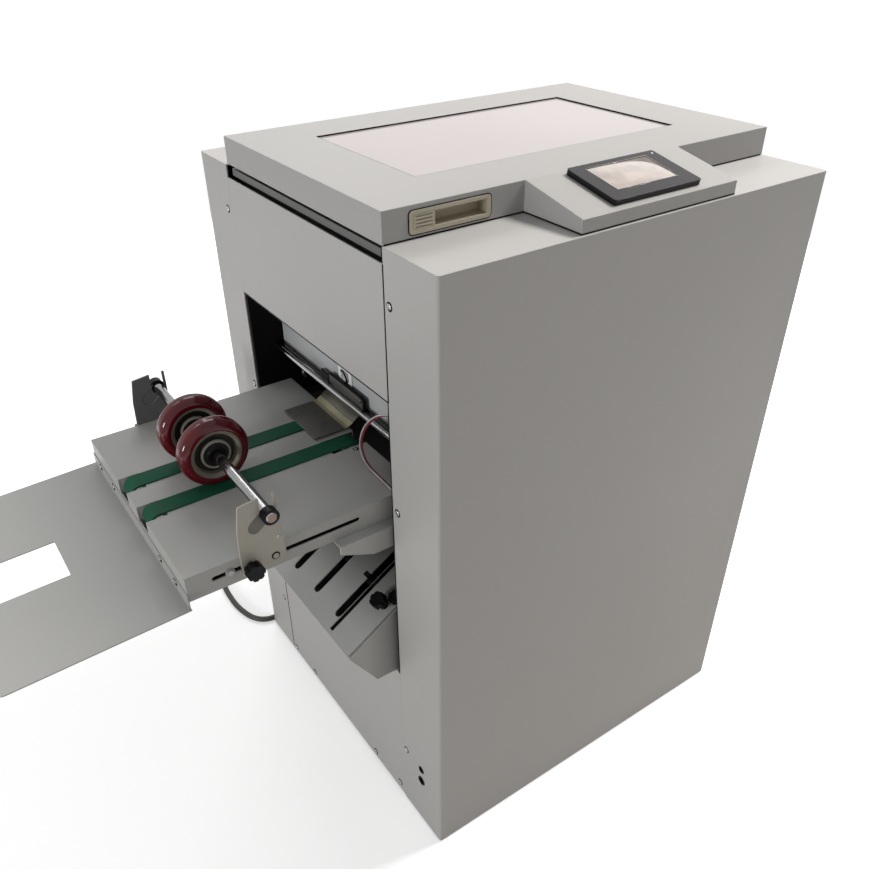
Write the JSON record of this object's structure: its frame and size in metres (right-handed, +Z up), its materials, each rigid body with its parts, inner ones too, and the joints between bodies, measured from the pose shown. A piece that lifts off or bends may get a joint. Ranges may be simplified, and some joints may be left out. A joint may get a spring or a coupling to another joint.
{
  "type": "booklet maker",
  "caption": "floor-standing cabinet machine that stitches and folds sheets on an inclined chute and delivers booklets over a belt table under press wheels to a tray",
  "frame": {"origin": "middle of the machine's box, cabinet, table and tray together, on the floor", "axes": "+X from the tray to the infeed side, +Y from the operator's front to the back, +Z up"},
  "size_m": [1.1668, 0.8767, 1.0446],
  "materials": {
    "body_paint": "fine silver-grey powder coat",
    "lid_paint": "fine silver-grey powder coat",
    "table_paint": "fine grey powder coat",
    "bracket_paint": "warm light grey powder coat",
    "dark_paint": "matt black paint",
    "steel": "ground steel",
    "bright_steel": "polished shaft steel",
    "black_plastic": "fine-grained black plastic",
    "screen_plastic": "glossy black plastic with a dark screen",
    "gear_brass": "machined brass",
    "belt_green": "woven green belt",
    "tyre_red": "glossy dark red polyurethane",
    "core_beige": "moulded beige-grey plastic",
    "pane_milky": "glossy pale acrylic",
    "latch_beige": "moulded beige plastic",
    "motor_paint": "dark motor paint",
    "spool_plastic": "wire wound on a plastic spool",
    "cord_black": "olive-black cord sheath",
    "sensor_red": "red insulated wire"
  },
  "bodies": {
    "machine": {"base_plate": "dark_paint", "levelling_feet": "black_plastic", "front_frame_plate": "dark_paint", "rear_frame_plate": "dark_paint", "cross_bars": "body_paint", "front_cover": "body_paint", "rear_cover": "body_paint", "left_upper_panel": "body_paint", "left_lower_panel": "body_paint", "right_panel": "body_paint", "main_motor": "motor_paint", "chute": "table_paint", "head_rail": "steel", "clincher_bar": "steel", "spool_axle": "bright_steel", "inner_plate": "steel", "exit_rods": "bright_steel", "exit_flap": "steel", "sensor_lead": "sensor_red", "delivery_table": "table_paint", "table_supports": "table_paint", "belts": "belt_green", "belt_motor": "motor_paint", "tray": "table_paint", "hinge_brackets": "steel", "lead_gland": "black_plastic", "mains_lead": "cord_black", "mains_coil": "cord_black", "mains_plug": "cord_black"},
    "lid": {"lid_shell": "lid_paint", "lid_window": "pane_milky", "lid_latch": "latch_beige", "touch_screen": "screen_plastic", "hinge_leaves": "steel"},
    "slider": {"latch_slider": "latch_beige"},
    "carriage": {"shaft_bracket_front": "bracket_paint", "shaft_bracket_rear": "bracket_paint"},
    "knob_front": {"bracket_knob_front": "black_plastic"},
    "knob_rear": {"bracket_knob_rear": "black_plastic"},
    "shaft": {"press_shaft": "bright_steel", "shaft_collars": "black_plastic"},
    "wheel_front": {"wheel_tyre_front": "tyre_red", "wheel_core_front": "core_beige"},
    "wheel_rear": {"wheel_tyre_rear": "tyre_red", "wheel_core_rear": "core_beige"},
    "drive_roller": {"belt_drive_roller": "steel"},
    "idler_roller": {"belt_idler_roller": "steel"},
    "stop": {"paper_stop": "dark_paint"},
    "knob_low": {"chute_knob_low": "black_plastic"},
    "knob_high": {"chute_knob_high": "black_plastic"},
    "roller_upper": {"fold_roller_upper": "steel", "fold_gear_upper": "gear_brass"},
    "roller_lower": {"fold_roller_lower": "steel", "fold_gear_lower": "gear_brass"},
    "pinion": {"motor_pinion": "steel"},
    "knife": {"fold_knife": "steel"},
    "head_front": {"stitch_head_front": "motor_paint"},
    "head_rear": {"stitch_head_rear": "motor_paint"},
    "spool_front": {"wire_spool_front": "spool_plastic"},
    "spool_rear": {"wire_spool_rear": "spool_plastic"}
  },
  "joints": [
    {"name": "lid_hinge", "type": "hinge", "parent": "machine", "child": "lid", "pos_m": [-0.07057, 0.1985, 1.003], "axis": [-1, 0, 0], "range_deg": [0, 70]},
    {"name": "latch_slide", "type": "slide", "parent": "lid", "child": "slider", "axis": [1, 0, 0], "range_m": [0, 0.025]},
    {"name": "carriage_slide", "type": "slide", "parent": "machine", "child": "carriage", "axis": [1, 0, 0], "range_m": [-0.045, 0.095]},
    {"name": "shaft_lift", "type": "slide", "parent": "carriage", "child": "shaft", "axis": [0, 0, 1], "range_m": [0, 0.012]},
    {"name": "wheel_front_spin", "type": "hinge", "parent": "shaft", "child": "wheel_front", "pos_m": [-0.23857, -0.0355, 0.6946], "axis": [0, 1, 0], "continuous": true},
    {"name": "wheel_rear_spin", "type": "hinge", "parent": "shaft", "child": "wheel_rear", "pos_m": [-0.23857, 0.0385, 0.6946], "axis": [0, 1, 0], "continuous": true},
    {"name": "knob_front_turn", "type": "hinge", "parent": "carriage", "child": "knob_front", "pos_m": [-0.27057, -0.2225, 0.625], "axis": [0, 1, 0], "range_deg": [-180, 180]},
    {"name": "knob_rear_turn", "type": "hinge", "parent": "carriage", "child": "knob_rear", "pos_m": [-0.27057, 0.1995, 0.625], "axis": [0, 1, 0], "range_deg": [-180, 180]},
    {"name": "belt_drive_spin", "type": "hinge", "parent": "machine", "child": "drive_roller", "pos_m": [-0.03757, -0.0115, 0.628], "axis": [0, 1, 0], "continuous": true},
    {"name": "belt_idler_spin", "type": "hinge", "parent": "machine", "child": "idler_roller", "pos_m": [-0.33257, -0.0115, 0.628], "axis": [0, 1, 0], "continuous": true},
    {"name": "stop_slide", "type": "slide", "parent": "machine", "child": "stop", "axis": [0.8453, 0, 0.5344], "range_m": [-0.06, 0.11]},
    {"name": "chute_knob_low_turn", "type": "hinge", "parent": "machine", "child": "knob_low", "pos_m": [-0.07281, -0.1915, 0.43616], "axis": [-0.5344, 0, 0.8453], "range_deg": [-180, 180]},
    {"name": "chute_knob_high_turn", "type": "hinge", "parent": "machine", "child": "knob_high", "pos_m": [-0.0559, -0.2015, 0.44685], "axis": [-0.5344, 0, 0.8453], "range_deg": [-180, 180]},
    {"name": "fold_upper_spin", "type": "hinge", "parent": "machine", "child": "roller_upper", "pos_m": [0.11409, -0.0115, 0.62766], "axis": [0, 1, 0], "continuous": true},
    {"name": "fold_lower_spin", "type": "hinge", "parent": "machine", "child": "roller_lower", "pos_m": [0.07639, -0.0115, 0.60383], "axis": [0, 1, 0], "continuous": true},
    {"name": "pinion_spin", "type": "hinge", "parent": "machine", "child": "pinion", "pos_m": [0.05321, -0.2475, 0.57306], "axis": [0, 1, 0], "continuous": true},
    {"name": "knife_slide", "type": "slide", "parent": "machine", "child": "knife", "axis": [-0.5344, 0, 0.8453], "range_m": [0, 0.056]},
    {"name": "head_front_slide", "type": "slide", "parent": "machine", "child": "head_front", "axis": [0, 1, 0], "range_m": [-0.025, 0.025]},
    {"name": "head_rear_slide", "type": "slide", "parent": "machine", "child": "head_rear", "axis": [0, 1, 0], "range_m": [-0.025, 0.025]},
    {"name": "spool_front_spin", "type": "hinge", "parent": "machine", "child": "spool_front", "pos_m": [0.48943, -0.0815, 0.9], "axis": [0, 1, 0], "continuous": true},
    {"name": "spool_rear_spin", "type": "hinge", "parent": "machine", "child": "spool_rear", "pos_m": [0.48943, 0.0585, 0.9], "axis": [0, 1, 0], "continuous": true}
  ],
  "couplings": [
    {"joint": "belt_idler_spin", "follows": "belt_drive_spin", "ratio": 1},
    {"joint": "fold_lower_spin", "follows": "fold_upper_spin", "ratio": -1},
    {"joint": "pinion_spin", "follows": "fold_upper_spin", "ratio": 1.375}
  ]
}
